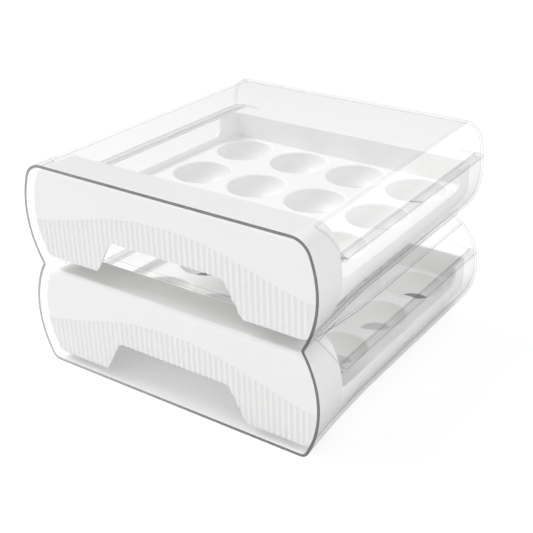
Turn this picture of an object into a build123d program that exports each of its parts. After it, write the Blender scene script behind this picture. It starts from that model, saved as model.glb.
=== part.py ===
from build123d import *
from math import sqrt
import os

# Two-tier egg drawer: a clear housing and two white drawers, in millimetres.
# X is to the right seen from the front, the open front faces -Y, Z is up.

# Housing envelope
front_y = -115.3                # open front end
back_y = 115.3                  # outside of the back wall
front_half_width = 120.0        # widest half-width at the open front
back_half_width = 112.0         # widest half-width at the back wall
tier_pitch = 76.5               # from one drawer floor to the next
tier_height = 74.5              # top of the roof above its own tier's base
bulge_height = 38.6             # height of the widest line above the tier's base
front_bulge_radius = 72.4       # side bulge at the open front
body_bulge_radius = 46.5        # side bulge behind the flare
front_crown_radius = 74.0       # upper half of the top tier, at the open front
back_crown_radius = 150.0       # the same, flatter, at the back wall
flare_y = -41.0                 # the front flare ends here
base_round = 7.6                # lower corners
waist_round = 1.0               # valley of the waist between the tiers
shoulder_round = 15.0           # upper corners

# Housing walls, shelf and rails
wall = 2.0                      # clear wall thickness
shelf_thickness = 3.5           # shelf between the tiers
shelf_front_y = -87.0           # front edge of the shelf, set back from the opening
back_round = 7.0                # edges around the back wall
rail_height = 50.0              # top of the guide rail above the tier's base
rail_thickness = 2.0
rail_width = 5.4                # how far the rail reaches inwards
rail_end_round = 2.5            # rounding of the rail's front end

# Side windows
window_front_y = -83.0          # front end of the window at rail height
window_lean = 0.56              # forward lean of that end per unit of height
window_corner = 7.0             # rounding where the lean meets the rail
window_back_gap = 5.5           # wall left standing in front of the back face
window_edge_inset = 14.5        # from the widest line to the upper window edge

# Drawer front: panel, hood and wings in one cap
panel_setback = 3.5             # panel face behind the housing's front end
cap_clearance = 1.0             # running gap between cap and clear wall
cap_wall = 2.2
cap_low = 4.2                   # lower edge of the cap above the tier's base
cap_back_y = -84.0              # back edge of hood and wings
cap_low_round = 5.0
cap_shoulder_round = 12.0
panel_round = 3.2               # rounding around the panel face
rail_gap = 0.4                  # between the cap's back edge and the rail

# Ribbed zone and finger notch
rib_pitch = 4.5
rib_count = 49
rib_width = 2.2
rib_rise = 0.55                 # ribs stand up from the sunken zone
zone_depth = 0.6                # the ribbed zone is sunk by this much
wave_half_span = 125.0          # the wave runs past both sides of the panel
wave_end_height = 30.5
wave_quarter = (82.0, 37.8)     # half-span and height on the flank
wave_shoulder = (45.0, 47.6)    # half-span and height near the crown
wave_crown_height = 52.0
notch_top_height = 30.0
notch_top_half_width = 47.0
notch_low_half_width = 61.5
notch_round = 6.5

# Tray
tray_gap = 0.2                  # between the tray's sides and the cap's wings
tray_wall = 2.0
tray_foot_gap = 0.3             # running gap over the housing floor
tray_front_y = -104.5
tray_end_gap = 10.3             # from the tray's back to the inside of the back wall
tray_rail_gap = 0.5             # between the tray's rim and the rail above it
tray_back_round = 8.0
deck_height = 28.0              # egg deck above the tier's base
deck_thickness = 2.0
deck_edge_round = 4.0           # blend between deck and walls
side_dip_height = 33.0          # side walls are lower along the middle
side_dip_front_y = -82.0
side_dip_back_y = 84.0
side_dip_round = 8.0

# Egg cups
cup_columns = 4
cup_rows = 3
cup_pitch_x = 51.0
cup_pitch_y = 54.0
cup_grid_y = 22.7               # middle of the cup grid
cup_rim_radius = 21.4
cup_lip_radius = 1.7            # rounded edge between deck and bowl
cup_hole_radius = 12.25
cup_depth = 14.0
cup_wall = 1.8
cup_sag = 1.4                   # how far the bowl's side bulges from a straight cone

# Working allowances for cutters
past = 5.0                      # how far a cutter runs past the solid

# Places worked out from the sizes above
tiers = {"lower": 0.0, "upper": tier_pitch}
cavity_back_y = back_y - wall
panel_y = front_y + panel_setback
cap_inset = wall + cap_clearance
tray_inset = cap_inset + cap_wall + tray_gap
tray_foot = wall + tray_foot_gap
tray_top = rail_height - rail_thickness - tray_rail_gap
tray_back_y = cavity_back_y - tray_end_gap
cap_roof = tier_height - wall - cap_clearance
cup_bottom = deck_height - cup_depth
waist_height = bulge_height + tier_pitch / 2
shelf_underside = tier_pitch + wall - shelf_thickness


def arc_x(half_width, radius, height, inset):
    """Half-width of a bulged side at a height, measured to a face inside it."""
    reach = sqrt((radius - inset) ** 2 - (height - bulge_height) ** 2)
    return half_width - radius + reach


def side_x(y, height, inset, crown=False):
    """Half-width of the housing's side at a depth and height, less an inset."""
    depth = (flare_y - front_y) / (back_y - front_y)
    flare_half_width = front_half_width + (back_half_width - front_half_width) * depth
    front_radius = front_bulge_radius
    flare_radius = body_bulge_radius
    back_radius = body_bulge_radius
    if crown:
        front_radius = front_crown_radius
        flare_radius = front_crown_radius + (back_crown_radius - front_crown_radius) * depth
        back_radius = back_crown_radius
    front_x = arc_x(front_half_width, front_radius, height, inset)
    flare_x = arc_x(flare_half_width, flare_radius, height, inset)
    back_x = arc_x(back_half_width, back_radius, height, inset)
    if y < flare_y:
        return front_x + (flare_x - front_x) * (y - front_y) / (flare_y - front_y)
    return flare_x + (back_x - flare_x) * (y - flare_y) / (back_y - flare_y)


def side_arcs(y, inset, low, high, level=0.0, crown=False):
    """Both sides of one tier's section, in arcs that meet at the widest line."""
    stops = [low, high]
    if low < bulge_height < high:
        stops.insert(1, bulge_height)
    for start, end in zip(stops, stops[1:]):
        squarer = crown and start >= bulge_height
        heights = (start, (start + end) / 2, end)
        for side in (1, -1):
            points = [(side * side_x(y, h, inset, squarer), h + level) for h in heights]
            ThreePointArc(*points)


def round_ends(section, low_round, high_round):
    """Round the lowest and the highest corners of a section, where a radius is given."""
    if low_round:
        fillet(section.vertices().group_by(Axis.Y)[0], low_round)
    if high_round:
        fillet(section.vertices().group_by(Axis.Y)[-1], high_round)


def bay_section(y, inset, low, high, low_round=0.0, high_round=0.0):
    """Closed section of one tier at a depth, between two heights."""
    low_x = side_x(y, low, inset)
    high_x = side_x(y, high, inset)
    with BuildSketch(Plane.XZ.offset(-y)) as section:
        with BuildLine():
            side_arcs(y, inset, low, high)
            Line((-low_x, low), (low_x, low))
            Line((-high_x, high), (high_x, high))
        make_face()
        round_ends(section, low_round, high_round)
    return section.sketch


def stack_section(y, inset):
    """Closed section of both tiers at a depth, joined at the waist."""
    low = inset
    high = tier_height - inset
    low_x = side_x(y, low, inset)
    high_x = side_x(y, high, inset, crown=True)
    top = high + tier_pitch
    with BuildSketch(Plane.XZ.offset(-y)) as section:
        with BuildLine():
            side_arcs(y, inset, low, waist_height)
            side_arcs(y, inset, waist_height - tier_pitch, high, tier_pitch, crown=True)
            Line((-low_x, low), (low_x, low))
            Line((-high_x, top), (high_x, top))
        make_face()
        valley = (waist_height - waist_round, waist_height + waist_round)
        fillet(section.vertices().filter_by_position(Axis.Y, *valley), waist_round + inset)
        round_ends(section, base_round - inset, shoulder_round - inset)
    return section.sketch


def window_cutter(top):
    """Cutter for the pair of side windows of one tier, up to a height."""
    front_edge_x = front_half_width - window_edge_inset
    back_edge_x = back_half_width - window_edge_inset
    along = Vector(back_edge_x - front_edge_x, back_y - front_y, 0)
    outward = Vector(along.Y, -along.X, 0)
    top_y = window_front_y - window_lean * (top - rail_height)
    end_y = back_y - window_back_gap
    with BuildPart() as cutter:
        with BuildSketch(Plane.YZ) as side:
            with BuildLine():
                Polyline(
                    (top_y, top),
                    (window_front_y, rail_height),
                    (end_y, rail_height),
                    (end_y, top),
                    close=True,
                )
            make_face()
            fillet(side.vertices().sort_by_distance((window_front_y, rail_height))[0], window_corner)
        extrude(amount=front_half_width + past)
        split(bisect_by=Plane((front_edge_x, front_y, 0), z_dir=outward), keep=Keep.TOP)
        mirror(about=Plane.YZ)
    return cutter.part


def rail_section(y, level):
    """Section of one guide rail, run out past the clear wall that trims it."""
    inner_x = side_x(y, rail_height, wall) - rail_width
    outer_x = side_x(y, bulge_height, 0) + past
    with BuildSketch(Plane.XZ.offset(-y)) as section:
        with Locations(((inner_x + outer_x) / 2, level + rail_height - rail_thickness / 2)):
            Rectangle(outer_x - inner_x, rail_thickness)
    return section.sketch


def shell_form(inset):
    """Solid form of the housing, less an inset all round but at the open front."""
    with BuildPart() as form:
        loft(sections=[stack_section(y, inset) for y in (front_y, flare_y, back_y - inset)], ruled=True)
        fillet(form.faces().sort_by(Axis.Y)[-1].edges(), back_round - inset)
    return form.part


def notch_sketch():
    """Everything under the panel's lower edge, with the finger notch in its middle."""
    reach = front_half_width + past
    with BuildSketch(Plane.XZ.offset(-front_y)) as under:
        with BuildLine():
            FilletPolyline(
                (-reach, cap_low),
                (-notch_low_half_width, cap_low),
                (-notch_top_half_width, notch_top_height),
                (notch_top_half_width, notch_top_height),
                (notch_low_half_width, cap_low),
                (reach, cap_low),
                radius=notch_round,
            )
            Polyline((-reach, cap_low), (-reach, -past), (reach, -past), (reach, cap_low))
        make_face()
    return under.sketch


def tray_plan(inset):
    """Plan of the tray with its rounded back corners, less an inset."""
    front = tray_front_y - past
    back = tray_back_y - inset
    front_x = side_x(front_y, bulge_height, tray_inset + inset) + past
    back_x = side_x(back, bulge_height, tray_inset + inset)
    with BuildSketch() as plan:
        with BuildLine():
            Polyline((-front_x, front), (front_x, front), (back_x, back), (-back_x, back), close=True)
        make_face()
        fillet(plan.vertices().group_by(Axis.Y)[-1], tray_back_round - inset)
    return plan.sketch


def cup_profile(skin, top):
    """Half outline of a cup's bowl, with its skin, from the axis to a height."""
    low = (cup_hole_radius + skin, cup_bottom)
    high = (cup_rim_radius + skin, top)
    middle = ((low[0] + high[0]) / 2 + cup_sag, (low[1] + high[1]) / 2 - cup_sag)
    Line((0, cup_bottom), low)
    ThreePointArc(low, middle, high)
    Polyline(high, (0, top), (0, cup_bottom))


def wave_sketch():
    """Everything under the wave that ends the ribbed zone."""
    with BuildSketch(Plane.XZ.offset(-front_y)) as under:
        with BuildLine():
            Spline(
                (-wave_half_span, wave_end_height),
                (-wave_quarter[0], wave_quarter[1]),
                (-wave_shoulder[0], wave_shoulder[1]),
                (0, wave_crown_height),
                wave_shoulder,
                wave_quarter,
                (wave_half_span, wave_end_height),
            )
            Polyline(
                (-wave_half_span, wave_end_height),
                (-wave_half_span, -past),
                (wave_half_span, -past),
                (wave_half_span, wave_end_height),
            )
        make_face()
    return under.sketch


# Shelf and two pairs of guide rails, rooted in the middle of the clear wall
with BuildPart() as fittings:
    rail_ys = (cap_back_y + rail_gap, flare_y, back_y)
    for level in tiers.values():
        loft(sections=[rail_section(y, level) for y in rail_ys], ruled=True)
    mirror(about=Plane.YZ)
    fillet(fittings.edges().filter_by(Axis.Z).group_by(Axis.Y)[0], rail_end_round)
    with BuildSketch(Plane.XY.offset(shelf_underside)):
        with Locations((0, shelf_front_y)):
            Rectangle(2 * front_half_width, back_y - shelf_front_y, align=(Align.CENTER, Align.MIN))
    extrude(amount=shelf_thickness)
    add(shell_form(wall / 2), mode=Mode.INTERSECT)

# Clear housing with two bays, a shelf and four side windows
with BuildPart() as housing:
    add(shell_form(0))
    add(shell_form(wall), mode=Mode.SUBTRACT)
    add(window_cutter(shelf_underside), mode=Mode.SUBTRACT)
    with Locations((0, 0, tier_pitch)):
        add(window_cutter(tier_height + past), mode=Mode.SUBTRACT)
    add(fittings.part)

# Outer form of a drawer front, with rounded edges around the panel
with BuildPart() as cap_form:
    loft(
        sections=[
            bay_section(y, cap_inset, cap_low, cap_roof, cap_low_round, cap_shoulder_round)
            for y in (panel_y, cap_back_y)
        ],
        ruled=True,
    )
    fillet(cap_form.faces().sort_by(Axis.Y)[0].edges(), panel_round)

# Drawer front: panel, hood and wings in one thin cap, open at the back and below
with BuildPart() as cap:
    add(cap_form.part)
    loft(
        sections=[
            bay_section(y, cap_inset + cap_wall, 0, cap_roof - cap_wall, 0, cap_shoulder_round - cap_wall)
            for y in (panel_y + cap_wall, cap_back_y + past)
        ],
        ruled=True,
        mode=Mode.SUBTRACT,
    )
    extrude(wave_sketch(), amount=-(panel_setback + zone_depth), mode=Mode.SUBTRACT)
    extrude(notch_sketch(), amount=-(panel_setback + cap_wall + past), mode=Mode.SUBTRACT)

# Upright ribs that fill the sunken zone and fade out over the rounded edge
with BuildPart() as ribs:
    with BuildSketch(Plane.XY.offset(cap_low)):
        with Locations((0, panel_y + zone_depth)):
            with GridLocations(rib_pitch, 0, rib_count, 1):
                Ellipse(rib_width / 2, rib_rise)
    extrude(amount=wave_crown_height)
    extrude(wave_sketch(), amount=-(panel_setback + cap_wall), mode=Mode.INTERSECT)
    extrude(notch_sketch(), amount=-(panel_setback + cap_wall), mode=Mode.SUBTRACT)
    add(cap_form.part, mode=Mode.INTERSECT)

# Egg cup with its bowl wall, and the hollow that is cut from it
with BuildPart() as cup:
    with BuildSketch(Plane.XZ):
        with BuildLine():
            cup_profile(cup_wall, deck_height - cup_lip_radius)
        make_face()
    revolve(axis=Axis.Z)

with BuildPart() as cup_hollow:
    with BuildSketch(Plane.XZ):
        with BuildLine():
            cup_profile(0, deck_height - cup_lip_radius)
        make_face()
        with BuildLine():
            rim = (cup_rim_radius, deck_height - cup_lip_radius)
            lip = (cup_rim_radius + cup_lip_radius, deck_height)
            JernArc(rim, (0, 1), cup_lip_radius, -90)
            Polyline(lip, (lip[0], deck_height + past), (0, deck_height + past), (0, rim[1]), rim)
        make_face()
        with Locations((0, cup_bottom)):
            Rectangle(2 * cup_hole_radius, 2 * past)
        split(bisect_by=Plane.YZ, keep=Keep.TOP)
    revolve(axis=Axis.Z)

# Well above the egg deck, inside the tray's walls
with BuildPart() as tray_well:
    well_ys = (tray_front_y + tray_wall, flare_y, tray_back_y - tray_wall)
    well_inset = tray_inset + tray_wall
    well_top = tray_top + past
    loft(
        sections=[bay_section(y, well_inset, deck_height, well_top, deck_edge_round) for y in well_ys],
        ruled=True,
    )
    extrude(tray_plan(tray_wall), amount=well_top, mode=Mode.INTERSECT)

# Tray: skirts, deck with cups, back wall and side walls that dip along the middle
with BuildPart() as tray_form:
    tray_ys = (tray_front_y, flare_y, tray_back_y)
    loft(sections=[bay_section(y, tray_inset, tray_foot, tray_top) for y in tray_ys], ruled=True)
    extrude(tray_plan(0), amount=tray_top + past, mode=Mode.INTERSECT)
    add(tray_well.part, mode=Mode.SUBTRACT)
    under_ys = (tray_front_y - past, flare_y, tray_back_y - tray_wall)
    under_low = tray_foot - tray_wall
    under_high = deck_height - deck_thickness
    under = [bay_section(y, tray_inset + tray_wall, under_low, under_high) for y in under_ys]
    loft(sections=under, ruled=True, mode=Mode.SUBTRACT)
    with BuildSketch(Plane.YZ):
        with Locations(((side_dip_front_y + side_dip_back_y) / 2, side_dip_height)):
            dip = Rectangle(side_dip_back_y - side_dip_front_y, 2 * tray_top, align=(Align.CENTER, Align.MIN))
        fillet(dip.vertices().group_by(Axis.Y)[0], side_dip_round)
    extrude(amount=front_half_width, both=True, mode=Mode.SUBTRACT)
    with Locations((0, cup_grid_y, 0)):
        with GridLocations(cup_pitch_x, cup_pitch_y, cup_columns, cup_rows):
            add(cup.part)
            add(cup_hollow.part, mode=Mode.SUBTRACT)

os.makedirs("parts", exist_ok=True)
housing.part.label = "housing"
export_step(housing.part, "parts/housing.step")

for tier, level in tiers.items():
    with BuildPart() as front:
        with Locations((0, 0, level)):
            add(cap.part)
            add(ribs.part)
    front.part.label = f"{tier}_front"
    export_step(front.part, f"parts/{tier}_front.step")
    with BuildPart() as tray:
        with Locations((0, 0, level)):
            add(tray_form.part)
    tray.part.label = f"{tier}_tray"
    export_step(tray.part, f"parts/{tier}_tray.step")
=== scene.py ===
import math

import bpy
from bpy.props import FloatProperty, FloatVectorProperty, PointerProperty
from bpy.types import Operator, Panel, PropertyGroup
from mathutils import Matrix, Vector


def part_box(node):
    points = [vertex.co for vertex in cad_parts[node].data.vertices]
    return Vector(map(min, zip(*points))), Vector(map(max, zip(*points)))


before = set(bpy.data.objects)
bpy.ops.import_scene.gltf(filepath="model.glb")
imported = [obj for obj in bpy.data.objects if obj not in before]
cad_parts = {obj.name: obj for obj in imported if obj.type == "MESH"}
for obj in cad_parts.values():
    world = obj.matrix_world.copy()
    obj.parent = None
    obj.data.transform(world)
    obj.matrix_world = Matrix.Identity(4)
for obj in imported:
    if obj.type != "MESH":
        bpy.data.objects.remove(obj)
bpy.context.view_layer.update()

bl_info = {
    "name": "Egg Drawer Finishes",
    "version": (1, 0, 0),
    "blender": (4, 5, 0),
    "location": "3D View > Sidebar > Egg Drawer",
    "description": "Clear shell, white drawers and studio for a two-tier egg drawer",
    "category": "Object",
}

# Places on the housing, in metres, that its clear plastic follows
FRONT_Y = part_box("housing")[0].y
TIER_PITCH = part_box("upper_tray")[0].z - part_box("lower_tray")[0].z
RIM_BACK_Y = FRONT_Y + 0.0001
RAIL_MIDDLE = 0.049             # half-way up the guide rail, above its tier's base
RAIL_REACH = 0.00105            # from there to just past the rail's top and underside
RAIL_FRONT_Y = -0.087
RAIL_INNER_X = 0.09
PANEL_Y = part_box("upper_front")[0].y
# Depths on the fronts over which painted shade greys the grooves between the ribs
RIB_SHADE_DEPTHS = (PANEL_Y + 0.00015, PANEL_Y + 0.00055)

# How strongly each part of the clear shell shows, and the tone of its palest parts
FACING_BLEND = 0.35
FACING_POWER = 3.5
EDGE_BEND = (0.005, 0.12)       # bend of the rounded normal where an edge starts and is full
RAIL_SHOWS = 0.07
# The rail is painted darker, standing in for refraction and reflection in the clear rail
RAIL_PAINTED_DARKENING = 0.5
RIM_SHOWS = 0.8
MOST_SHOWS = 0.95
PALE_SPECK = (0.40, 0.40, 0.41)
# Tone of the rim where painted light makes it paler
LIT_RIM_TONE = (0.40, 0.40, 0.42)
# The cut rim is painted paler to the left and low down, as the photograph's light shows it
RIM_LIGHT_SLOPE_X = -4.0
RIM_LIGHT_SLOPE_Z = -3.0
RIM_LIGHT_RANGE = (-0.35, 0.45)

# Soft change across the noise that varies each plastic a little
CLOUD_RANGE = (0.3, 0.7)
SHADE_OF_WHITE = 0.985
FRONT_GLOSS = 0.06              # fronts are this much smoother than trays

# Camera fitted to the photograph, in metres and degrees
CAMERA_AZIMUTH = 36.722
CAMERA_ELEVATION = 26.668
CAMERA_ROLL = -1.850
CAMERA_TARGET = (-0.00236, 0.0, 0.05412)
CAMERA_DISTANCE = 0.80787
SENSOR_WIDTH = 36.0

LAMP_TARGET = (0.0, 0.0, 0.07)
FLOOR_SIZE = 12.0
FLOOR_Z = -0.0002
WHITE = (1.0, 1.0, 1.0, 1.0)
SEEN_RAYS = ("Is Camera Ray", "Is Glossy Ray", "Is Transmission Ray")


class ShellSettings(PropertyGroup):
    """Sizes and colours of the clear housing's finish."""

    tint: FloatVectorProperty(
        name="Clear tint", description="Colour of the clear plastic where it shows",
        subtype="COLOR", size=3, min=0.0, max=1.0, default=(0.19, 0.19, 0.20))
    body: FloatProperty(
        name="Body", description="How much of the clear wall shows, seen square on",
        subtype="FACTOR", min=0.0, max=1.0, default=0.012)
    graze: FloatProperty(
        name="Graze", description="How much more of it shows at a glancing angle",
        subtype="FACTOR", min=0.0, max=1.0, default=0.95)
    let_through: FloatProperty(
        name="Let through", description="How much of what the plastic holds back it lets pass as light",
        subtype="FACTOR", min=0.0, max=1.0, default=0.9)
    # Edges are painted this dark tint, standing in for refraction and reflection at the clear plastic's
    # edges
    painted_edge_tint: FloatVectorProperty(
        name="Edge tint", description="Colour of the corners and edges of the clear plastic",
        subtype="COLOR", size=3, min=0.0, max=1.0, default=(0.10, 0.10, 0.11))
    edge_body: FloatProperty(
        name="Edge body", description="How much more of the clear plastic shows along an edge",
        subtype="FACTOR", min=0.0, max=1.0, default=0.38)
    edge_width: FloatProperty(
        name="Edge width", description="How far in from an edge the plastic looks darker",
        subtype="DISTANCE", unit="LENGTH", min=0.0001, max=0.005, default=0.0008)
    # The rim is painted this dark tint, standing in for refraction and reflection in the clear cut edge
    painted_rim_tint: FloatVectorProperty(
        name="Rim tint", description="Colour of the cut edge round the open front",
        subtype="COLOR", size=3, min=0.0, max=1.0, default=(0.09, 0.085, 0.09))
    polish: FloatProperty(
        name="Polish", description="Roughness of the polished clear surface",
        subtype="FACTOR", min=0.0, max=1.0, default=0.06)


class WhiteSettings(PropertyGroup):
    """Sizes and colours of the white drawers' finish."""

    # The tray white is set paler and the front white greyer: painted light that lifts the shaded trays
    # inside the housing, and painted shade that holds the lit fronts down
    tray: FloatVectorProperty(
        name="Tray white", description="Colour of the egg trays",
        subtype="COLOR", size=3, min=0.0, max=1.0, default=(0.94, 0.94, 0.935))
    front: FloatVectorProperty(
        name="Front white", description="Colour of the drawer fronts",
        subtype="COLOR", size=3, min=0.0, max=1.0, default=(0.89, 0.89, 0.885))
    # Painted shade: the grooves between the ribs take this grey
    groove_shade: FloatVectorProperty(
        name="Groove", description="Colour between the ribs of the drawer fronts",
        subtype="COLOR", size=3, min=0.0, max=1.0, default=(0.83, 0.83, 0.825))
    satin: FloatProperty(
        name="Satin", description="Roughness of the moulded surface",
        subtype="FACTOR", min=0.0, max=1.0, default=0.42)
    grain: FloatProperty(
        name="Grain", description="Size of the fine moulding grain",
        subtype="DISTANCE", unit="LENGTH", min=0.0001, max=0.01, default=0.0008)


class StageSettings(PropertyGroup):
    """Floor, light and camera."""

    floor_tone: FloatProperty(
        name="Floor tone", description="Grey level of the floor",
        subtype="FACTOR", min=0.0, max=1.0, default=0.90)
    floor_seen: FloatProperty(
        name="Floor seen", description="The part of the floor's grey that the camera sees shaded",
        subtype="FACTOR", min=0.0, max=1.0, default=0.62)
    floor_lift: FloatProperty(
        name="Floor lift", description="Glow that takes the floor to white for the camera",
        min=0.0, max=2.0, default=0.49)
    behind_clear: FloatProperty(
        name="Behind clear", description="How much greyer the backdrop is where clear plastic covers it",
        min=0.0, max=1.0, default=0.12)
    room_light: FloatProperty(
        name="Room light", description="Strength of the even light all round",
        min=0.0, max=2.0, default=0.93)
    key_power: FloatProperty(
        name="Key light", description="Power of the large lamp overhead",
        subtype="POWER", unit="POWER", min=0.0, max=200.0, default=38.0)
    side_power: FloatProperty(
        name="Side light", description="Power of the lamp at the front left",
        subtype="POWER", unit="POWER", min=0.0, max=200.0, default=0.5)
    fill_power: FloatProperty(
        name="Fill light", description="Power of the low lamp at the right",
        subtype="POWER", unit="POWER", min=0.0, max=200.0, default=2.5)
    lens: FloatProperty(
        name="Lens", description="Focal length of the camera",
        subtype="DISTANCE_CAMERA", unit="CAMERA", min=10.0, max=300.0, default=75.22)


class Field:
    """A value on a surface. An expression on fields adds the Math nodes that work it out."""

    def __init__(self, surface, socket):
        self.surface = surface
        self.socket = socket

    def maths(self, operation, *others):
        return self.surface.node("ShaderNodeMath", {"operation": operation}, (self, *others))

    def __add__(self, other):
        return self.maths("ADD", other)

    def __sub__(self, other):
        return self.maths("SUBTRACT", other)

    def __rsub__(self, other):
        return self.surface.node("ShaderNodeMath", {"operation": "SUBTRACT"}, (other, self))

    def __mul__(self, other):
        return self.maths("MULTIPLY", other)

    def __pow__(self, other):
        return self.maths("POWER", other)

    def __abs__(self):
        return self.maths("ABSOLUTE")

    def __lt__(self, other):
        return self.maths("LESS_THAN", other)

    def __gt__(self, other):
        return self.maths("GREATER_THAN", other)

    def ramp(self, low, high):
        """0 below low, 1 above high, and smooth in between."""
        return self.surface.node(
            "ShaderNodeMapRange", {"interpolation_type": "SMOOTHSTEP"}, (self, low, high))


class Surface:
    """A material's node tree, with one way to add a node."""

    def __init__(self, name):
        self.material = bpy.data.materials.new(name)
        self.material.use_nodes = True
        self.tree = self.material.node_tree
        self.tree.nodes.clear()
        self.output = self.tree.nodes.new("ShaderNodeOutputMaterial")

    @classmethod
    def around(cls, world):
        """The node tree of the world, in the place of a material's."""
        room = cls.__new__(cls)
        room.material = world
        room.tree = world.node_tree
        room.tree.nodes.clear()
        room.output = room.tree.nodes.new("ShaderNodeOutputWorld")
        return room

    def grey(self, value):
        """A grey colour of one value."""
        return self.node("ShaderNodeCombineXYZ", None, (value, value, value))

    def node(self, kind, settings=None, values=(), named=None, out=0):
        """Adds a node: its settings first, then its sockets by place or by name."""
        added = self.tree.nodes.new(kind)
        for key, value in (settings or {}).items():
            setattr(added, key, value)
        sockets = [*enumerate(values), *(named or {}).items()]
        for key, value in sockets:
            if isinstance(value, Field):
                self.tree.links.new(value.socket, added.inputs[key])
            elif value is not None:
                added.inputs[key].default_value = value
        return Field(self, added.outputs[out])

    def split(self, vector):
        """The three parts of a vector, as fields."""
        parts = self.node("ShaderNodeSeparateXYZ", None, (vector,)).socket.node.outputs
        return [Field(self, part) for part in parts]

    def blend(self, amount, low, high):
        """A colour between two colours."""
        mix = self.tree.nodes.new("ShaderNodeMix")
        mix.data_type = "RGBA"
        for name, value in (("Factor_Float", amount), ("A_Color", low), ("B_Color", high)):
            socket = next(s for s in mix.inputs if s.identifier == name)
            if isinstance(value, Field):
                self.tree.links.new(value.socket, socket)
            else:
                socket.default_value = value if isinstance(value, float) else (*value, 1.0)
        return Field(self, next(s for s in mix.outputs if s.identifier == "Result_Color"))

    def ray(self, *names):
        """What kind of ray is looking, one field for each name."""
        path = self.node("ShaderNodeLightPath").socket.node
        return [Field(self, path.outputs[name]) for name in names]

    def close(self, shader):
        """Makes a shader the material's surface."""
        self.tree.links.new(shader.socket, self.output.inputs["Surface"])
        return self.material


def dress(node, material):
    """Gives a node of the frame one material all over."""
    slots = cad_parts[node].data.materials
    slots.clear()
    slots.append(material)


def clear_plastic(settings):
    """Clear polished plastic: pale walls, denser at a glancing angle, with painted dark edges, rails and
    rim that stand in for refraction and reflection.
    """
    surface = Surface("clear_plastic")
    place = surface.node("ShaderNodeTexCoord", out="Object")
    x, y, z = surface.split(place)
    across = abs(x)
    level = z - (z > TIER_PITCH) * TIER_PITCH
    facing = surface.node("ShaderNodeLayerWeight", None, (FACING_BLEND,), out="Facing")

    rounded = surface.node("ShaderNodeBevel", {"samples": 4}, named={"Radius": settings.edge_width})
    flat = surface.node("ShaderNodeNewGeometry", out="Normal")
    same = surface.node(
        "ShaderNodeVectorMath", {"operation": "DOT_PRODUCT"}, (rounded, flat), out="Value")
    edge = (1.0 - same).ramp(*EDGE_BEND)

    rim = y < RIM_BACK_Y
    rail = (abs(level - RAIL_MIDDLE) < RAIL_REACH) * (y > RAIL_FRONT_Y) * (across > RAIL_INNER_X)

    alpha = facing ** FACING_POWER * settings.graze + settings.body + rail * RAIL_SHOWS
    alpha = alpha + edge * settings.edge_body + rim * RIM_SHOWS
    alpha = alpha.maths("MINIMUM", MOST_SHOWS)
    shadow, bounce = surface.ray("Is Shadow Ray", "Is Diffuse Ray")
    alpha = alpha * (1.0 - (shadow + bounce) * settings.let_through)

    speck = surface.node(
        "ShaderNodeTexNoise", None, named={"Vector": place, "Scale": 45.0, "Detail": 2.0})
    colour = surface.blend(speck.ramp(0.35, 0.75) * 0.2, settings.tint, PALE_SPECK)
    # Painted darkening on the rail stands in for refraction and reflection
    colour = surface.blend(rail * RAIL_PAINTED_DARKENING, colour, settings.painted_edge_tint)
    # Painted darkening along the edges stands in for refraction and reflection
    colour = surface.blend(edge, colour, settings.painted_edge_tint)
    # Painted light: the rim's tint goes paler to the left and low down
    rim_lit_side = (x * RIM_LIGHT_SLOPE_X + z * RIM_LIGHT_SLOPE_Z).ramp(*RIM_LIGHT_RANGE)
    painted_rim_colour = surface.blend(rim_lit_side, settings.painted_rim_tint, LIT_RIM_TONE)
    # The rim takes its painted dark tint, in place of refraction in its cut edge
    colour = surface.blend(rim, colour, painted_rim_colour)
    rough = speck.ramp(*CLOUD_RANGE) * 0.04 + settings.polish

    shader = surface.node(
        "ShaderNodeBsdfPrincipled", None,
        named={"Base Color": colour, "Roughness": rough, "Alpha": alpha, "IOR": 1.49,
               "Specular IOR Level": 0.15})
    return surface.close(shader)


def white_plastic(name, settings, white, gloss, shade_depths=None):
    """Satin white moulded plastic with a fine grain, a little greyer in its recesses as painted shade.
    """
    surface = Surface(name)
    place = surface.node("ShaderNodeTexCoord", out="Object")
    grain = surface.node(
        "ShaderNodeTexNoise", None,
        named={"Vector": place, "Scale": 1.0 / settings.grain, "Detail": 2.0, "Roughness": 0.5})
    cloud = surface.node(
        "ShaderNodeTexNoise", None, named={"Vector": place, "Scale": 22.0, "Detail": 3.0})
    shade = tuple(c * SHADE_OF_WHITE for c in white)
    clouded = cloud.ramp(*CLOUD_RANGE)
    colour = surface.blend(clouded, shade, tuple(white))
    if shade_depths:
        # Painted shade: greyer deeper between the ribs
        depth = surface.split(place)[1]
        colour = surface.blend(depth.ramp(*shade_depths), colour, settings.groove_shade)
    rough = clouded * 0.06 + grain * 0.04 + (settings.satin - gloss)
    bump = surface.node(
        "ShaderNodeBump", None, named={"Strength": 0.02, "Distance": 0.0002, "Height": grain})
    shader = surface.node(
        "ShaderNodeBsdfPrincipled", None,
        named={"Base Color": colour, "Roughness": rough, "Normal": bump, "IOR": 1.46})
    return surface.close(shader)


class EGGDRAWER_OT_finish_housing(Operator):
    """Give the clear housing its polished plastic"""

    bl_idname = "eggdrawer.finish_housing"
    bl_label = "Finish Housing"

    def execute(self, context):
        dress("housing", clear_plastic(context.scene.egg_shell))
        return {"FINISHED"}


class EGGDRAWER_OT_finish_trays(Operator):
    """Give both egg trays their satin white plastic"""

    bl_idname = "eggdrawer.finish_trays"
    bl_label = "Finish Trays"

    def execute(self, context):
        settings = context.scene.egg_white
        material = white_plastic("tray_plastic", settings, settings.tray, 0.0)
        for tier in ("lower", "upper"):
            dress(f"{tier}_tray", material)
        return {"FINISHED"}


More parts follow.
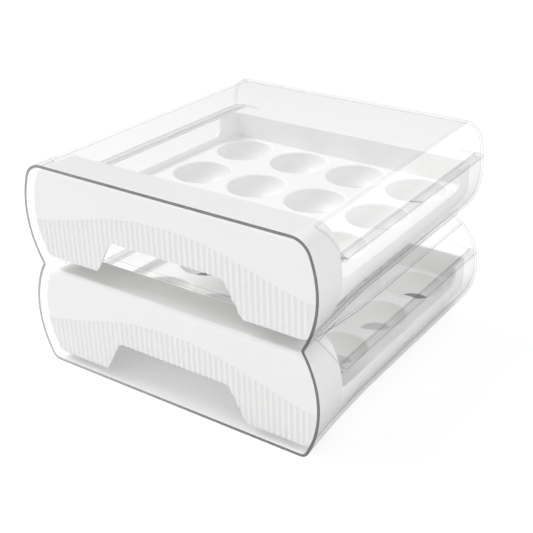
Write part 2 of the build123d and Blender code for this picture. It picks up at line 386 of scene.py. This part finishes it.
class EGGDRAWER_OT_finish_fronts(Operator):
    """Give both drawer fronts their white plastic"""

    bl_idname = "eggdrawer.finish_fronts"
    bl_label = "Finish Fronts"

    def execute(self, context):
        settings = context.scene.egg_white
        material = white_plastic("front_plastic", settings, settings.front, FRONT_GLOSS, RIB_SHADE_DEPTHS)
        for tier in ("lower", "upper"):
            dress(f"{tier}_front", material)
        return {"FINISHED"}


class EGGDRAWER_OT_build_stage(Operator):
    """Build the floor, the lamps and the camera"""

    bl_idname = "eggdrawer.build_stage"
    bl_label = "Build Stage"

    def execute(self, context):
        settings = context.scene.egg_stage
        build_floor(settings)
        build_world(context.scene, settings)
        build_lamps(settings)
        build_camera(context.scene, settings)
        return {"FINISHED"}


def looking(surface, settings):
    """Whether the camera sees this, and how much greyer it is where clear plastic covers it."""
    camera, glossy, through, depth = surface.ray(*SEEN_RAYS, "Transparent Depth")
    return camera + glossy + through, (depth > 0.5) * settings.behind_clear


def build_floor(settings):
    """A wide pale floor that goes to white for the camera and keeps the soft shadow."""
    bpy.ops.object.select_all(action="DESELECT")
    bpy.ops.mesh.primitive_plane_add(size=FLOOR_SIZE, location=(0.0, 0.0, FLOOR_Z))
    floor = bpy.context.object
    floor.name = "studio_floor"
    surface = Surface("studio_floor")
    seen, behind = looking(surface, settings)
    tone = surface.blend(seen, (settings.floor_tone,) * 3, (settings.floor_seen,) * 3)
    paint = surface.node("ShaderNodeBsdfDiffuse", None, named={"Color": tone})
    glow = surface.node(
        "ShaderNodeEmission", None,
        named={"Color": WHITE, "Strength": seen * (settings.floor_lift - behind)})
    both = surface.node("ShaderNodeAddShader", None, (paint, glow))
    floor.data.materials.append(surface.close(both))


def build_world(scene, settings):
    """An even white room, white behind the object and softer as light."""
    world = bpy.data.worlds.new("studio")
    scene.world = world
    world.use_nodes = True
    room = Surface.around(world)
    seen, behind = looking(room, settings)
    light = room.node("ShaderNodeBackground", None, named={"Strength": settings.room_light})
    white = room.node(
        "ShaderNodeBackground", None, named={"Color": room.grey(1.0 - behind), "Strength": 1.0})
    both = room.node("ShaderNodeMixShader", None, (seen, light, white))
    room.close(both)


def build_lamps(settings):
    """A large soft lamp high on the left, a weak one at the front left and a low fill at the right."""
    lamps = (
        ("lamp_overhead", settings.key_power, 1.6, (-1.70, -0.20, 2.10)),
        ("lamp_front_left", settings.side_power, 0.9, (-0.9, -1.0, 0.7)),
        ("lamp_right", settings.fill_power, 1.1, (1.15, -0.20, 0.40)),
    )
    for name, power, size, spot in lamps:
        bpy.ops.object.select_all(action="DESELECT")
        bpy.ops.object.light_add(type="AREA", location=spot)
        lamp = bpy.context.object
        lamp.name = name
        lamp.data.energy = power
        lamp.data.shape = "DISK"
        lamp.data.size = size
        aim = Vector(LAMP_TARGET) - Vector(spot)
        lamp.rotation_euler = aim.to_track_quat("-Z", "Y").to_euler()


def build_camera(scene, settings):
    """A camera at the photograph's angle and distance."""
    azimuth = math.radians(CAMERA_AZIMUTH)
    elevation = math.radians(CAMERA_ELEVATION)
    roll = math.radians(CAMERA_ROLL)
    back = Vector((math.sin(azimuth) * math.cos(elevation),
                   -math.cos(azimuth) * math.cos(elevation),
                   math.sin(elevation)))
    right = (-back).cross(Vector((0.0, 0.0, 1.0))).normalized()
    up = right.cross(-back)
    turned_right = right * math.cos(roll) + up * math.sin(roll)
    turned_up = up * math.cos(roll) - right * math.sin(roll)
    data = bpy.data.cameras.new("studio_camera")
    camera = bpy.data.objects.new("studio_camera", data)
    scene.collection.objects.link(camera)
    turn = Matrix((turned_right, turned_up, back)).transposed()
    place = Vector(CAMERA_TARGET) + back * CAMERA_DISTANCE
    camera.matrix_world = Matrix.Translation(place) @ turn.to_4x4()
    data.sensor_width = SENSOR_WIDTH
    data.lens = settings.lens
    scene.camera = camera


class EGGDRAWER_PT_parts(Panel):
    """Lists the steps that finish the egg drawer"""

    bl_label = "Egg Drawer"
    bl_idname = "EGGDRAWER_PT_parts"
    bl_space_type = "VIEW_3D"
    bl_region_type = "UI"
    bl_category = "Egg Drawer"

    def draw(self, context):
        for operator in OPERATORS:
            self.layout.operator(operator.bl_idname)
        for group in (context.scene.egg_shell, context.scene.egg_white, context.scene.egg_stage):
            for name in group.__annotations__:
                self.layout.prop(group, name)


SETTINGS = (ShellSettings, WhiteSettings, StageSettings)
OPERATORS = (
    EGGDRAWER_OT_finish_housing,
    EGGDRAWER_OT_finish_trays,
    EGGDRAWER_OT_finish_fronts,
    EGGDRAWER_OT_build_stage,
)


def register():
    for made in (*SETTINGS, *OPERATORS, EGGDRAWER_PT_parts):
        bpy.utils.register_class(made)
    bpy.types.Scene.egg_shell = PointerProperty(type=ShellSettings)
    bpy.types.Scene.egg_white = PointerProperty(type=WhiteSettings)
    bpy.types.Scene.egg_stage = PointerProperty(type=StageSettings)


def unregister():
    del bpy.types.Scene.egg_stage
    del bpy.types.Scene.egg_white
    del bpy.types.Scene.egg_shell
    for made in reversed((*SETTINGS, *OPERATORS, EGGDRAWER_PT_parts)):
        bpy.utils.unregister_class(made)


def main():
    """Registers the add-on, sets the colour view and the bounces, and runs every step in order."""
    register()
    bpy.context.scene.view_settings.view_transform = "Standard"
    bpy.context.scene.cycles.transparent_max_bounces = 32
    bpy.context.scene.cycles.diffuse_bounces = 8
    bpy.ops.eggdrawer.finish_housing()
    bpy.ops.eggdrawer.finish_trays()
    bpy.ops.eggdrawer.finish_fronts()
    bpy.ops.eggdrawer.build_stage()


if __name__ == "__main__":
    main()
